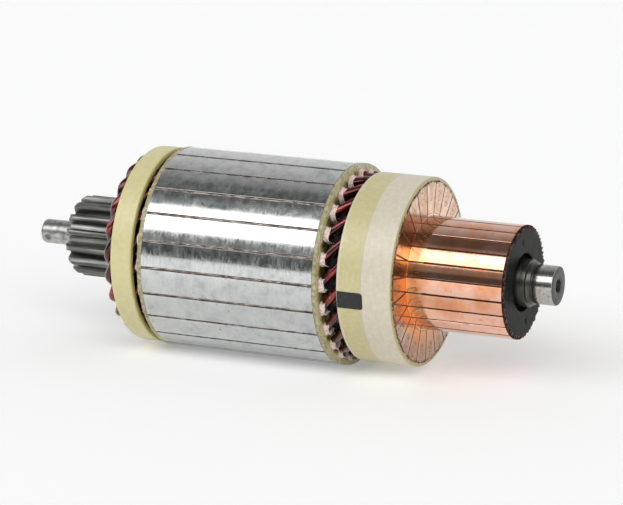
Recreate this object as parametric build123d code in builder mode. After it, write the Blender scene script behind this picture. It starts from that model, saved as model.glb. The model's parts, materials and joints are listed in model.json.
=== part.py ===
from build123d import *
from math import acos, cos, degrees, pi, radians, sin, sqrt, tan
import os

os.makedirs("parts", exist_ok=True)

# A wound motor armature. All lengths are in millimetres.
# X runs along the shaft towards the commutator end, and Z is up.
# The origin is the centre of the commutator-end journal.

# Slots and winding pattern
slot_count = 23
coil_span = 6
riser_shift = 3
slot_phase = 180.0

# Shaft
journal_diameter = 15.0
journal_length = 7.65
journal_chamfer = 0.25
relief_diameter = 14.4
relief_width = 0.7
cone_small_diameter = 15.6
cone_length = 2.0
collar_diameter = 18.1
collar_overhang = 3.2
core_diameter = 20.0
neck_diameter = 22.0
neck_length = 20.55
spigot_diameter = 9.5
spigot_length = 16.9
spigot_chamfer = 0.85
centre_hole_diameter = 5.4
centre_pilot_diameter = 2.4
centre_pilot_depth = 6.0
spigot_centre_diameter = 3.0
spigot_centre_depth = 1.3
dimple_diameter = 2.8
dimple_depth = 0.4
dimple_setback = 3.1
dimple_angle = 197.0

# Sun gear cut on the shaft
gear_teeth = 15
gear_module = 1.9
gear_pressure_angle = 20.0
gear_addendum = 1.71
gear_dedendum = 2.24
gear_length = 23.2
gear_phase = 19.7
gear_root_fillet = 0.35
gear_tip_chamfer_depth = 1.05
gear_tip_chamfer_length = 1.7

# Lamination stack
stack_diameter = 77.5
stack_length = 71.3
tooth_tip_height = 2.75
slot_mouth_width = 1.0
slot_corner = 1.2
washer_thickness = 1.8

# Winding wire, liners and the room between them
wire_diameter = 3.3
wire_clearance = 0.1
liner_thickness = 0.3
liner_lip_inset = 0.2
liner_front_overhang = 1.5
liner_rear_overhang = 1.2
layer_gap = 0.6
front_layer_gap = 0.5
bend_radius = 3.0
loop_radius = 4.0
slant_radius = 25.0
bend_run = 1.6
rear_bend_run = 1.95
front_runs = 5
rear_runs = 4
loop_half_width = 2.65
loop_overhang = 18.65
layer_ring_thickness = 0.2
layer_ring_clearance = 0.05

# Commutator
winding_room = 25.35
barrel_diameter = 43.26
barrel_length = 38.6
riser_thickness = 5.8
riser_slot_clearance = 0.05
neck_fillet = 0.6
bar_end_height = 1.6
bar_foot_height = 4.0
hub_front_rim = 5.0
hub_back_rim = 7.0
dovetail_depth = 2.0
mica_thickness = 0.55
mica_seat_clearance = 0.02
undercut_depth = 0.7
undercut_width = 0.85
mica_flush_length = 6.2
hub_recess_diameter = 22.0
hub_recess_depth = 3.0

# Binding bands
front_band_step = 2.6
front_band_length = 22.0
front_band_thickness = 1.75
front_band_setback = 0.3
front_band_edge = 0.5
overband_inset = 1.1
overband_length = 9.1
overband_depth = 0.5
rear_band_thickness = 2.35
rear_band_length = 9.75
rear_band_gap = 2.05
rear_band_clearance = 0.15
rear_band_edge = 0.9

# Stations along the shaft, from the commutator end to the drive end
shaft_end_x = journal_length / 2
journal_start_x = -journal_length / 2
cone_front_x = journal_start_x - relief_width
collar_front_x = cone_front_x - cone_length
commutator_end_x = collar_front_x - collar_overhang
riser_face_x = commutator_end_x - barrel_length
riser_back_x = riser_face_x - riser_thickness
stack_front_x = riser_back_x - winding_room
stack_back_x = stack_front_x - stack_length
washer_front_x = stack_front_x + washer_thickness
washer_back_x = stack_back_x - washer_thickness
gear_front_x = washer_back_x - neck_length
gear_end_x = gear_front_x - gear_length
spigot_end_x = gear_end_x - spigot_length
liner_front_x = washer_front_x + liner_front_overhang
liner_back_x = washer_back_x - liner_rear_overhang
front_bend_x = liner_front_x + bend_run
rear_bend_x = liner_back_x - rear_bend_run
riser_bend_x = riser_back_x - bend_run
loop_x = stack_back_x - loop_overhang + wire_diameter / 2
front_band_front_x = riser_face_x - front_band_setback
front_band_back_x = front_band_front_x - front_band_length
overband_back_x = front_band_back_x + overband_inset
rear_band_front_x = washer_back_x - rear_band_gap
rear_band_back_x = rear_band_front_x - rear_band_length

# Radii, from the outside of the stack inwards
pitch_angle = 360 / slot_count
stack_radius = stack_diameter / 2
slot_top_radius = stack_radius - tooth_tip_height
slot_width = wire_diameter + 2 * wire_clearance + 2 * liner_thickness
top_leg_radius = slot_top_radius - liner_thickness - wire_clearance - wire_diameter / 2
bottom_leg_radius = top_leg_radius - wire_diameter - layer_gap
slot_bottom_radius = bottom_leg_radius - wire_diameter / 2 - wire_clearance - liner_thickness
slot_depth = slot_top_radius - slot_bottom_radius
slot_mid_radius = (slot_top_radius + slot_bottom_radius) / 2
front_band_radius = stack_radius - front_band_step
band_bore_radius = front_band_radius - front_band_thickness
riser_radius = band_bore_radius - riser_slot_clearance
front_top_radius = riser_radius - wire_diameter / 2 - riser_slot_clearance
front_bottom_radius = front_top_radius - wire_diameter - front_layer_gap
riser_slot_width = wire_diameter + 2 * riser_slot_clearance
barrel_radius = barrel_diameter / 2
hub_rim_radius = barrel_radius - bar_end_height
bar_foot_radius = hub_rim_radius - bar_foot_height
collar_radius = collar_diameter / 2
core_radius = core_diameter / 2
journal_radius = journal_diameter / 2
spigot_radius = spigot_diameter / 2

# Gear radii
gear_pitch_radius = gear_module * gear_teeth / 2
gear_tip_radius = gear_pitch_radius + gear_addendum
gear_root_radius = gear_pitch_radius - gear_dedendum
gear_base_radius = gear_pitch_radius * cos(radians(gear_pressure_angle))


def radial_plane(angle):
    # Holds the shaft's axis as its local X, and the radius at this angle as its local Y.
    return Plane(
        origin=(0, 0, 0),
        x_dir=(1, 0, 0),
        z_dir=(0, -sin(radians(angle)), cos(radians(angle))),
    )


def rim_point(x, radius, angle):
    return (x, radius * cos(radians(angle)), radius * sin(radians(angle)))


def involute(roll_angle):
    # The polar angle that an involute has gained once its pressure angle is this, in degrees.
    return degrees(tan(radians(roll_angle))) - roll_angle


def flank_angle(radius):
    # Half the angular thickness of a gear tooth at this radius, in degrees.
    pressure = degrees(acos(gear_base_radius / radius))
    return 90 / gear_teeth + involute(gear_pressure_angle) - involute(pressure)


def flat_point(radius, angle):
    return (radius * cos(radians(angle)), radius * sin(radians(angle)))


def tube(front_x, back_x, bore_radius, outer_radius):
    # A plain ring around the shaft's axis.
    with BuildPart() as ring:
        with BuildSketch(Plane.YZ.offset(back_x)):
            Circle(outer_radius)
            Circle(bore_radius, mode=Mode.SUBTRACT)
        extrude(amount=front_x - back_x)
    return ring.part


def finish(part, name):
    part.label = name
    export_step(part, f"parts/{name}.step")


# Shaft: a turned body, with the gear teeth grown on it afterwards
with BuildSketch() as gear_tooth:
    flank_steps = 4
    flank_radii = [
        gear_base_radius + (gear_tip_radius - gear_base_radius) * step / flank_steps
        for step in range(flank_steps + 1)
    ]
    root_inside = gear_root_radius - gear_root_fillet
    base_half_angle = flank_angle(gear_base_radius)
    with BuildLine():
        right_flank = Spline([flat_point(radius, -flank_angle(radius)) for radius in flank_radii])
        left_flank = Spline([flat_point(radius, flank_angle(radius)) for radius in flank_radii])
        ThreePointArc(right_flank @ 1, (gear_tip_radius, 0), left_flank @ 1)
        right_root = Line(flat_point(root_inside, -base_half_angle), right_flank @ 0)
        left_root = Line(flat_point(root_inside, base_half_angle), left_flank @ 0)
        Line(right_root @ 0, left_root @ 0)
    make_face()

with BuildPart() as armature_shaft:
    with BuildSketch(Plane.XY):
        with BuildLine():
            Polyline(
                (spigot_end_x, 0),
                (spigot_end_x, spigot_radius - spigot_chamfer),
                (spigot_end_x + spigot_chamfer, spigot_radius),
                (gear_end_x, spigot_radius),
                (gear_end_x, gear_root_radius),
                (gear_front_x, gear_root_radius),
                (gear_front_x, neck_diameter / 2),
                (washer_back_x, neck_diameter / 2),
                (washer_back_x, core_radius),
                (riser_back_x, core_radius),
                (riser_back_x, collar_radius),
                (collar_front_x, collar_radius),
                (cone_front_x, cone_small_diameter / 2),
                (cone_front_x, relief_diameter / 2),
                (journal_start_x, relief_diameter / 2),
                (journal_start_x, journal_radius),
                (shaft_end_x - journal_chamfer, journal_radius),
                (shaft_end_x, journal_radius - journal_chamfer),
                (shaft_end_x, 0),
                close=True,
            )
        make_face()
    revolve(axis=Axis.X)

    # Gear teeth, with their outer corners turned off at the drive end
    with BuildSketch(Plane.YZ.offset(gear_end_x)) as gear_section:
        Circle(gear_root_radius)
        with PolarLocations(0, gear_teeth, start_angle=gear_phase):
            add(gear_tooth.sketch)
        root_corners = [
            corner
            for corner in gear_section.vertices()
            if abs(sqrt(corner.Y**2 + corner.Z**2) - gear_root_radius) < gear_root_fillet / 10
        ]
        fillet(root_corners, gear_root_fillet)
    extrude(amount=gear_length)
    with BuildSketch(Plane.XY):
        with BuildLine():
            Polyline(
                (gear_end_x, gear_tip_radius - gear_tip_chamfer_depth),
                (gear_end_x + gear_tip_chamfer_length, gear_tip_radius),
                (gear_end_x + gear_tip_chamfer_length, gear_tip_radius + gear_module),
                (gear_end_x, gear_tip_radius + gear_module),
                close=True,
            )
        make_face()
    revolve(axis=Axis.X, mode=Mode.SUBTRACT)

    # Centre holes for turning, one in each end
    with BuildSketch(Plane.XY):
        countersink_depth = (centre_hole_diameter - centre_pilot_diameter) / 2 / tan(radians(30))
        with BuildLine():
            Polyline(
                (shaft_end_x, 0),
                (shaft_end_x, centre_hole_diameter / 2),
                (shaft_end_x - countersink_depth, centre_pilot_diameter / 2),
                (shaft_end_x - centre_pilot_depth, centre_pilot_diameter / 2),
                (shaft_end_x - centre_pilot_depth, 0),
                close=True,
            )
        make_face()
    revolve(axis=Axis.X, mode=Mode.SUBTRACT)
    with BuildSketch(Plane.XY):
        with BuildLine():
            Polyline(
                (spigot_end_x, 0),
                (spigot_end_x, spigot_centre_diameter / 2),
                (spigot_end_x + spigot_centre_depth, 0),
                close=True,
            )
        make_face()
    revolve(axis=Axis.X, mode=Mode.SUBTRACT)

    # Shallow round dimple in the side of the spigot
    dimple_x = spigot_end_x + dimple_setback
    dimple_plane = Plane(
        origin=rim_point(dimple_x, spigot_radius - dimple_depth, dimple_angle),
        x_dir=(1, 0, 0),
        z_dir=rim_point(0, 1, dimple_angle),
    )
    with BuildSketch(dimple_plane):
        Circle(dimple_diameter / 2)
    extrude(amount=dimple_depth * 2, mode=Mode.SUBTRACT)

finish(armature_shaft.part, "armature_shaft")

# Lamination stack: one pressed and ground pack of sheets with closed-in slot mouths
mouth_depth = tooth_tip_height + slot_corner
with BuildPart() as lamination_stack:
    with BuildSketch(Plane.YZ.offset(stack_back_x)):
        Circle(stack_radius)
        Circle(core_radius, mode=Mode.SUBTRACT)
        with PolarLocations(slot_mid_radius, slot_count, start_angle=slot_phase):
            RectangleRounded(slot_depth, slot_width, slot_corner, mode=Mode.SUBTRACT)
        with PolarLocations(stack_radius, slot_count, start_angle=slot_phase):
            Rectangle(2 * mouth_depth, slot_mouth_width, mode=Mode.SUBTRACT)
    extrude(amount=stack_length)

finish(lamination_stack.part, "lamination_stack")

# Insulating washers on both faces of the stack, with slots that stop short of the rim
washer_places = {
    "commutator_end_washer": stack_front_x,
    "drive_end_washer": washer_back_x,
}
for washer_name, washer_x in washer_places.items():
    with BuildPart() as washer:
        with BuildSketch(Plane.YZ.offset(washer_x)):
            Circle(stack_radius)
            Circle(core_radius, mode=Mode.SUBTRACT)
            with PolarLocations(slot_mid_radius, slot_count, start_angle=slot_phase):
                RectangleRounded(slot_depth, slot_width, slot_corner, mode=Mode.SUBTRACT)
        extrude(amount=washer_thickness)
    finish(washer.part, washer_name)

# Slot liners: folded paper, with its two edges standing up in the slot mouth
liner_lip_length = tooth_tip_height - liner_lip_inset
liner_slit_width = slot_mouth_width - 2 * liner_thickness
with BuildPart() as slot_liners:
    with BuildSketch(Plane.YZ.offset(liner_back_x)):
        with PolarLocations(slot_mid_radius, slot_count, start_angle=slot_phase):
            RectangleRounded(slot_depth, slot_width, slot_corner)
            RectangleRounded(
                slot_depth - 2 * liner_thickness,
                slot_width - 2 * liner_thickness,
                slot_corner - liner_thickness,
                mode=Mode.SUBTRACT,
            )
    extrude(amount=liner_front_x - liner_back_x)
    with BuildSketch(Plane.YZ.offset(stack_back_x)):
        lip_mid_radius = slot_top_radius - liner_thickness / 2 + liner_lip_length / 2
        with PolarLocations(lip_mid_radius, slot_count, start_angle=slot_phase):
            Rectangle(liner_lip_length + liner_thickness, slot_mouth_width)
    extrude(amount=stack_length)
    with BuildSketch(Plane.YZ.offset(liner_back_x)):
        with PolarLocations(stack_radius, slot_count, start_angle=slot_phase):
            Rectangle(2 * (tooth_tip_height + liner_thickness), liner_slit_width)
    extrude(amount=liner_front_x - liner_back_x, mode=Mode.SUBTRACT)

finish(slot_liners.part, "slot_liners")


# Coils: round enamelled wire bent into hairpins, one leg in the top layer and one below
def half_coil(slot_radius, front_radius, slot_angle, turn):
    # Corners of one leg from its riser to its loop, each with the radius it is bent to.
    riser_angle = slot_angle - turn * riser_shift * pitch_angle
    loop_half_angle = degrees(loop_half_width / top_leg_radius)
    loop_angle = slot_angle + turn * (coil_span * pitch_angle / 2 - loop_half_angle)
    corners = [(rim_point(riser_face_x, front_radius, riser_angle), 0)]
    for run in range(front_runs):
        share = run / front_runs
        x = riser_bend_x + (front_bend_x - riser_bend_x) * share
        angle = riser_angle + (slot_angle - riser_angle) * share
        corners.append((rim_point(x, front_radius, angle), slant_radius if run else bend_radius))
    corners.append((rim_point(front_bend_x, slot_radius, slot_angle), bend_radius))
    corners.append((rim_point(rear_bend_x, slot_radius, slot_angle), bend_radius))
    for run in range(1, rear_runs + 1):
        share = run / rear_runs
        x = rear_bend_x + (loop_x - rear_bend_x) * share
        angle = slot_angle + (loop_angle - slot_angle) * share
        bend = slant_radius if run < rear_runs else loop_radius
        corners.append((rim_point(x, slot_radius, angle), bend))
    return corners


top_leg = half_coil(top_leg_radius, front_top_radius, 0, 1)
bottom_leg = half_coil(bottom_leg_radius, front_bottom_radius, coil_span * pitch_angle, -1)
coil_corners = top_leg + bottom_leg[::-1]
with BuildPart() as coil_blank:
    with BuildLine() as coil_route:
        FilletPolyline(
            *[point for point, bend in coil_corners],
            radius=[bend for point, bend in coil_corners[1:-1]],
        )
    with BuildSketch(Plane(origin=coil_corners[0][0], z_dir=(-1, 0, 0))):
        Circle(wire_diameter / 2)
    sweep()

for number in range(slot_count):
    with BuildPart() as coil:
        add(coil_blank.part, rotation=(slot_phase + number * pitch_angle, 0, 0))
    finish(coil.part, f"coil_{number + 1:02d}")

# Insulating rings between the two layers of end winding
front_ring_bore = front_bottom_radius + wire_diameter / 2 + layer_ring_clearance
front_ring = tube(
    riser_bend_x,
    front_band_back_x,
    front_ring_bore,
    front_ring_bore + layer_ring_thickness,
)
finish(front_ring, "commutator_end_layer_insulation")

rear_ring_bore = bottom_leg_radius + wire_diameter / 2 + layer_ring_clearance
rear_ring = tube(
    rear_band_front_x,
    rear_band_back_x,
    rear_ring_bore,
    rear_ring_bore + layer_ring_thickness,
)
finish(rear_ring, "drive_end_layer_insulation")

# Commutator bars: copper segments with a riser, a slotted wire seat and a dovetail foot
foot_front_x = commutator_end_x - hub_front_rim
foot_back_x = riser_back_x + hub_back_rim
undercut_x = riser_face_x + mica_flush_length
with BuildPart() as bar_blank:
    with BuildSketch(radial_plane(-pitch_angle / 2)) as bar_section:
        with BuildLine():
            Polyline(
                (riser_back_x, hub_rim_radius),
                (riser_back_x, riser_radius),
                (riser_face_x, riser_radius),
                (riser_face_x, barrel_radius),
                (commutator_end_x, barrel_radius),
                (commutator_end_x, hub_rim_radius),
                (foot_front_x, hub_rim_radius),
                (foot_front_x + dovetail_depth, bar_foot_radius),
                (foot_back_x - dovetail_depth, bar_foot_radius),
                (foot_back_x, hub_rim_radius),
                close=True,
            )
        make_face()
        neck_corner = rim_point(riser_face_x, barrel_radius, -pitch_angle / 2)
        fillet(bar_section.vertices().sort_by_distance(neck_corner)[0], neck_fillet)
    revolve(axis=Axis.X, revolution_arc=pitch_angle)

    # Half of a mica separator is taken off each side, and half of the wider undercut slot
    for side in (-1, 1):
        with BuildSketch(radial_plane(side * pitch_angle / 2)):
            with Locations(((riser_back_x + commutator_end_x) / 2, riser_radius / 2)):
                Rectangle(commutator_end_x - riser_back_x, riser_radius)
        extrude(amount=mica_thickness / 2, both=True, mode=Mode.SUBTRACT)
        with BuildSketch(radial_plane(side * pitch_angle / 2)):
            with Locations(((undercut_x + commutator_end_x) / 2, barrel_radius)):
                Rectangle(commutator_end_x - undercut_x, 2 * undercut_depth)
        extrude(amount=undercut_width / 2, both=True, mode=Mode.SUBTRACT)

    # Seat for the two wire ends, open at the riser's rim
    with BuildSketch(Plane.YZ.offset(riser_back_x)):
        with Locations((front_bottom_radius, 0)):
            Circle(riser_slot_width / 2)
        with Locations(((front_bottom_radius + band_bore_radius) / 2, 0)):
            Rectangle(band_bore_radius - front_bottom_radius, riser_slot_width)
    extrude(amount=riser_thickness, mode=Mode.SUBTRACT)

for number in range(slot_count):
    with BuildPart() as commutator_bar:
        add(bar_blank.part, rotation=(slot_phase + number * pitch_angle, 0, 0))
    finish(commutator_bar.part, f"commutator_bar_{number + 1:02d}")

# Mica separators between the bars, cut back below the running surface
with BuildPart() as mica_separators:
    for number in range(slot_count):
        with BuildSketch(radial_plane(slot_phase + (number + 0.5) * pitch_angle)):
            with BuildLine():
                Polyline(
                    (riser_back_x, hub_rim_radius),
                    (riser_back_x, riser_radius),
                    (riser_face_x, riser_radius),
                    (riser_face_x, barrel_radius),
                    (undercut_x, barrel_radius),
                    (undercut_x, barrel_radius - undercut_depth),
                    (commutator_end_x, barrel_radius - undercut_depth),
                    (commutator_end_x, hub_rim_radius),
                    (foot_front_x - mica_seat_clearance, hub_rim_radius),
                    (foot_front_x + dovetail_depth - mica_seat_clearance, bar_foot_radius),
                    (foot_back_x - dovetail_depth + mica_seat_clearance, bar_foot_radius),
                    (foot_back_x + mica_seat_clearance, hub_rim_radius),
                    close=True,
                )
            make_face()
    extrude(amount=mica_thickness / 2, both=True)

finish(mica_separators.part, "mica_separators")

# Commutator hub: moulded resin around the feet of the bars
with BuildPart() as commutator_hub:
    with BuildSketch(Plane.XY):
        with BuildLine():
            Polyline(
                (riser_back_x, collar_radius),
                (riser_back_x, hub_rim_radius),
                (foot_back_x, hub_rim_radius),
                (foot_back_x - dovetail_depth, bar_foot_radius),
                (foot_front_x + dovetail_depth, bar_foot_radius),
                (foot_front_x, hub_rim_radius),
                (commutator_end_x, hub_rim_radius),
                (commutator_end_x, hub_recess_diameter / 2),
                (commutator_end_x - hub_recess_depth, hub_recess_diameter / 2),
                (commutator_end_x - hub_recess_depth, collar_radius),
                close=True,
            )
        make_face()
    revolve(axis=Axis.X)

finish(commutator_hub.part, "commutator_hub")

# Commutator-end binding: a white ring with a yellow-green overband let into it
overband_front_x = overband_back_x + overband_length
overband_bore_radius = front_band_radius - overband_depth
with BuildPart() as commutator_end_band:
    add(tube(front_band_front_x, front_band_back_x, band_bore_radius, front_band_radius))
    rims = commutator_end_band.edges().filter_by(GeomType.CIRCLE).sort_by(SortBy.RADIUS)[-2:]
    fillet(rims, front_band_edge)
    add(
        tube(overband_front_x, overband_back_x, overband_bore_radius, front_band_radius),
        mode=Mode.SUBTRACT,
    )

finish(commutator_end_band.part, "commutator_end_band")

commutator_end_overband = tube(
    overband_front_x, overband_back_x, overband_bore_radius, front_band_radius
)
finish(commutator_end_overband, "commutator_end_overband")

# Drive-end binding: one ring over the end winding
rear_band_bore = top_leg_radius + wire_diameter / 2 + rear_band_clearance
with BuildPart() as drive_end_band:
    rear_band_radius = rear_band_bore + rear_band_thickness
    add(tube(rear_band_front_x, rear_band_back_x, rear_band_bore, rear_band_radius))
    rims = drive_end_band.edges().filter_by(GeomType.CIRCLE).sort_by(SortBy.RADIUS)[-2:]
    fillet(rims, rear_band_edge)

finish(drive_end_band.part, "drive_end_band")
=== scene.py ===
import json
from functools import partial
from math import asin, atan2, cos, degrees, pi, radians, sin, sqrt

import bmesh
import bpy
from mathutils import Matrix, Vector, noise

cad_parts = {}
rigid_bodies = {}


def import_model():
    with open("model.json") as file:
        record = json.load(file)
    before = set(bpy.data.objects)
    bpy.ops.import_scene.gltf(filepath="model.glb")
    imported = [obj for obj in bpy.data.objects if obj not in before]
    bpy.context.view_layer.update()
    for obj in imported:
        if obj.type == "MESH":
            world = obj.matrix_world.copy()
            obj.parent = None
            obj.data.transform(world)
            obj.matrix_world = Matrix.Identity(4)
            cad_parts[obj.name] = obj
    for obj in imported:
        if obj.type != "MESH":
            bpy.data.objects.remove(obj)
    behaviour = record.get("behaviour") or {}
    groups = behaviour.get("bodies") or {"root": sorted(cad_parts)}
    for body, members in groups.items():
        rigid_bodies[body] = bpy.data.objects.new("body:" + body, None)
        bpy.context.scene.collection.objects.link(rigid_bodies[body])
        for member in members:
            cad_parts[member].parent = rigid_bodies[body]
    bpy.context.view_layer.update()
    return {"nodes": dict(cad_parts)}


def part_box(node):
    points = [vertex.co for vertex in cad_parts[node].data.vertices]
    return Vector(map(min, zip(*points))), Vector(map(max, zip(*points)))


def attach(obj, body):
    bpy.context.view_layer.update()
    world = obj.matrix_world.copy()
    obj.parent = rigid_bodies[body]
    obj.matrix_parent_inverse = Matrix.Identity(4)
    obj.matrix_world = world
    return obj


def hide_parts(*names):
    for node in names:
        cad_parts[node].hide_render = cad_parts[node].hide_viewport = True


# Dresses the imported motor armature. Blender works in metres, the sizes below are in millimetres.
# X runs along the shaft towards the commutator end. Angles turn from +Y towards +Z.

for leftover in list(bpy.data.objects):
    bpy.data.objects.remove(leftover)
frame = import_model()
print("frame loaded,", len(frame["nodes"]), "nodes")

mm = 0.001
slotCount = 23
slotPitch = 360 / slotCount
slotPhase = 180.0  # angle of the first slot, and of the first commutator bar
near = 0.05  # the room that a test for a radius leaves
atEnd = 0.01  # the same for a place along the shaft


def span(node):
    # Where a CAD node begins and ends along the shaft, drive end first.
    low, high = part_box(node)
    return low.x / mm, high.x / mm


def slotPoint(x, radial, lateral, angle=0.0):
    # A point beside the radius at this angle, as on the walls of a slot.
    turn = radians(angle)
    across = radial * cos(turn) - lateral * sin(turn)
    up = radial * sin(turn) + lateral * cos(turn)
    return Vector((x, across, up)) * mm


def rimPoint(x, radius, angle):
    return slotPoint(x, radius, 0, angle)


def radiusOf(point):
    return sqrt(point.y**2 + point.z**2) / mm


def outwardOf(point):
    return Vector((0, point.y, point.z)).normalized()


def clamp(value, low=0.0, high=1.0):
    return max(low, min(high, value))


def wander(point, grain, seed=0.0):
    # Smooth noise from -1 to 1 that changes over about grain millimetres.
    return noise.noise(point * perMm(grain) + Vector((seed, seed * 1.7, seed * 0.3)))


# Shapes


def everything(shape):
    return shape.verts[:] + shape.edges[:] + shape.faces[:]


def chain(shape, points, closed):
    corners = [shape.verts.new(point) for point in points]
    following = corners[1:] + corners[:1] if closed else corners[1:]
    for first, second in zip(corners, following):
        shape.edges.new((first, second))
    return corners


def roundCorner(shape, corner, size, segments=3):
    bmesh.ops.bevel(
        shape, geom=[corner], offset=size * mm, offset_type="OFFSET", segments=segments,
        profile=0.5, affect="VERTICES", material=-1,
    )


def outlineOf(shape, points, outline):
    # Draws a closed or open outline and rounds its corners of (x, radius, rounding).
    closed = all(radius > 0 for x, radius, rounding in outline)
    for corner, (x, radius, rounding) in zip(chain(shape, points, closed), outline):
        if rounding:
            roundCorner(shape, corner, rounding)


def pickEdges(shape, radius=-1.0, x=-1000.0, bend=-1.0, run=-1.0):
    # Edges wholly beyond a radius and a place along the shaft, where the faces bend by more than
    # this many degrees, and that run on along the shaft for more than this.
    return [
        edge for edge in shape.edges
        if min(radiusOf(vert.co) for vert in edge.verts) > radius
        and min(vert.co.x for vert in edge.verts) > x * mm
        and edge.calc_face_angle(0) > radians(bend)
        and abs(edge.verts[0].co.x - edge.verts[1].co.x) > run * mm
    ]


def bevelEdges(shape, edges, size, segments=2):
    bmesh.ops.bevel(
        shape, geom=edges, offset=size * mm, offset_type="OFFSET", segments=segments,
        profile=0.5, affect="EDGES", material=-1,
    )


def divideLong(shape, longest):
    # Cuts every edge that is longer than this many millimetres into equal parts.
    for edge in list(shape.edges):
        cuts = int(edge.calc_length() / (longest * mm))
        if cuts:
            bmesh.ops.subdivide_edges(shape, edges=[edge], cuts=cuts)


def cutAcross(shape, level, axis=0):
    # Cuts the faces where they cross this place along one axis.
    place, normal = Vector((0, 0, 0)), Vector((0, 0, 0))
    place[axis], normal[axis] = level * mm, 1
    bmesh.ops.bisect_plane(
        shape, geom=everything(shape), dist=0.0001 * mm, plane_co=place, plane_no=normal
    )


def fillOpen(shape):
    openEdges = [edge for edge in shape.edges if edge.is_boundary]
    bmesh.ops.holes_fill(shape, edges=openEdges, sides=0)


def weld(shape, distance):
    bmesh.ops.remove_doubles(shape, verts=shape.verts[:], dist=distance * mm)


def faceOut(shape):
    bmesh.ops.recalc_face_normals(shape, faces=shape.faces[:])


def spinAround(shape, parts, angle, steps, **settings):
    bmesh.ops.spin(
        shape, geom=parts, cent=(0, 0, 0), axis=(1, 0, 0), angle=radians(angle), steps=steps, **settings
    )


def turned(outline, steps=160, longest=None):
    # A turned shape. Its outline closes on the axis or on itself.
    shape = bmesh.new()
    outlineOf(shape, [(x * mm, radius * mm, 0) for x, radius, rounding in outline], outline)
    if longest:
        divideLong(shape, longest)
    spinAround(shape, everything(shape), 360, steps, use_merge=True)
    weld(shape, 0.001)
    return shape


def copyRound(shape, count):
    # Copies the whole shape round the shaft, one copy to each slot or tooth.
    spinAround(shape, everything(shape), 360 * (count - 1) / count, count - 1, use_duplicate=True)


def turnBy(shape, angle):
    bmesh.ops.rotate(
        shape, cent=(0, 0, 0), matrix=Matrix.Rotation(radians(angle), 3, "X"), verts=shape.verts[:]
    )


def extrudeAlong(shape, faces, length):
    grown = bmesh.ops.extrude_face_region(shape, geom=faces)["geom"]
    moved = [item for item in grown if isinstance(item, bmesh.types.BMVert)]
    bmesh.ops.translate(shape, verts=moved, vec=(length * mm, 0, 0))


def drawCircle(shape, x, radius, steps):
    upright = Matrix.Translation((x * mm, 0, 0)) @ Matrix.Rotation(pi / 2, 4, "Y")
    bmesh.ops.create_circle(shape, cap_ends=False, segments=steps, radius=radius * mm, matrix=upright)


def raiseRing(shape, back, front, bore, steps):
    # Fills the space between an outline and a round bore, and draws it out along the shaft.
    drawCircle(shape, back, bore, steps)
    filled = bmesh.ops.triangle_fill(shape, use_beauty=True, edges=shape.edges[:], normal=(1, 0, 0))
    faces = [item for item in filled["geom"] if isinstance(item, bmesh.types.BMFace)]
    extrudeAlong(shape, faces, front - back)


def assignMaterial(shape, index, x=-1000.0):
    # Gives the faces beyond a place along the shaft one of the piece's materials.
    for face in shape.faces:
        if face.calc_center_median().x > x * mm:
            face.material_index = index


def joinShape(target, part):
    # Adds one shape to another, and lets the first one go.
    mesh = bpy.data.meshes.new("part")
    part.to_mesh(mesh)
    part.free()
    target.from_mesh(mesh)
    bpy.data.meshes.remove(mesh)


def makeObject(name, shape, materials):
    mesh = bpy.data.meshes.new(name)
    shape.to_mesh(mesh)
    shape.free()
    for material in materials:
        mesh.materials.append(material)
    made = bpy.data.objects.new(name, mesh)
    bpy.context.scene.collection.objects.link(made)
    return made


def placePiece(name, shape, materials, nodes, sharpAngle=18):
    faceOut(shape)
    for face in shape.faces:
        face.smooth = True
    for edge in shape.edges:
        edge.smooth = edge.calc_face_angle(0) < radians(sharpAngle)
    piece = makeObject(name, shape, materials)
    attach(piece, "root")
    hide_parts(*nodes)
    return piece


def thicken(piece, thickness):
    wall = piece.modifiers.new("thickness", "SOLIDIFY")
    wall.thickness, wall.offset = thickness * mm, 0.0


# Materials


def linear(colour):
    # An sRGB hex colour as Blender's linear one.
    parts = [int(colour[at : at + 2], 16) / 255 for at in (0, 2, 4)]
    return tuple(c / 12.92 if c <= 0.04045 else ((c + 0.055) / 1.055) ** 2.4 for c in parts) + (1.0,)


def perMm(*sizes):
    # Texture scales for patterns of these sizes in millimetres, on coordinates in metres.
    scales = tuple(1000 / size for size in sizes)
    return scales if len(scales) > 1 else scales[0]


def addNode(tree, kind, *values, stops=(), **settings):
    # Values go to the sockets in their order, or by name from one dictionary. A node stands for
    # its first output, and a text for an sRGB colour.
    node = tree.nodes.new("ShaderNode" + kind)
    for name, value in settings.items():
        setattr(node, name, value)
    if values and isinstance(values[0], dict):
        pairs = [(node.inputs[name], value) for name, value in values[0].items()]
    else:
        pairs = zip([socket for socket in node.inputs if socket.enabled], values)
    for socket, value in pairs:
        if isinstance(value, bpy.types.Node):
            value = next(output for output in value.outputs if output.enabled)
        if isinstance(value, bpy.types.NodeSocket):
            tree.links.new(value, socket)
        else:
            socket.default_value = linear(value) if isinstance(value, str) else value
    for index, (place, colour) in enumerate(stops):
        elements = node.color_ramp.elements
        element = elements[index] if index < 2 else elements.new(place)
        element.position = place
        element.color = linear(colour) if isinstance(colour, str) else colour
    return node


def newMaterial(name):
    material = bpy.data.materials.new(name)
    material.use_nodes = True
    tree = material.node_tree
    tree.nodes.clear()
    add = partial(addNode, tree)
    return material, add, add("TexCoord").outputs["Object"]


def closeMaterial(material, surface, height=None, depth=0.0, strength=1.0):
    # Lays the surface over bumps of this depth in millimetres.
    add = partial(addNode, material.node_tree)
    if height is not None:
        bump = add("Bump", {"Height": height, "Distance": depth * mm, "Strength": strength})
        surface["Normal"] = bump
    add("OutputMaterial", add("BsdfPrincipled", surface))
    return material


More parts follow.
